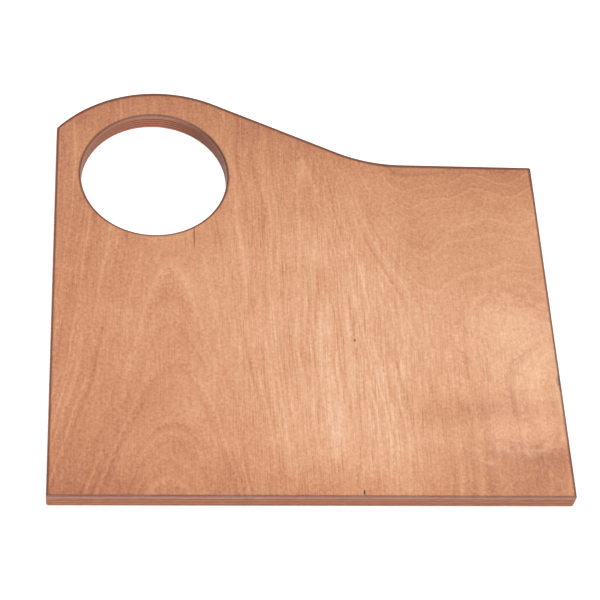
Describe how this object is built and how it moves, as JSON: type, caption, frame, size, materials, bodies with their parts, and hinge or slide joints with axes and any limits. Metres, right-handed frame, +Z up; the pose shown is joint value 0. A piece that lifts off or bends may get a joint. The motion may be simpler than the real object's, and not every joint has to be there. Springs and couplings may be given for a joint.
{
  "type": "mixing palette",
  "caption": "Flat plywood mixing board with straight front and sides, a back edge that swells into a rounded crown at one end, and a round hand hole under the crown.",
  "frame": {"origin": "centre of the bounding box in plan, at the underside that rests on the table", "axes": "+X along the straight front edge, away from the hand hole; +Y from the front edge to the crown; +Z up out of the mixing face"},
  "size_m": [0.4, 0.382, 0.015],
  "materials": {
    "face_birch": "reddish-brown stain under a satin clear varnish",
    "crossband_birch": "stained veneer edge under varnish",
    "longband_birch": "stained veneer edge under varnish, darker where the end grain shows",
    "back_birch": "reddish-brown stain under a satin clear varnish"
  },
  "bodies": {
    "root": {"face_veneer": "face_birch", "crossband_1": "crossband_birch", "longband_1": "longband_birch", "crossband_2": "crossband_birch", "longband_2": "longband_birch", "core_crossband": "crossband_birch", "longband_3": "longband_birch", "crossband_3": "crossband_birch", "longband_4": "longband_birch", "crossband_4": "crossband_birch", "back_veneer": "back_birch"}
  },
  "joints": []
}
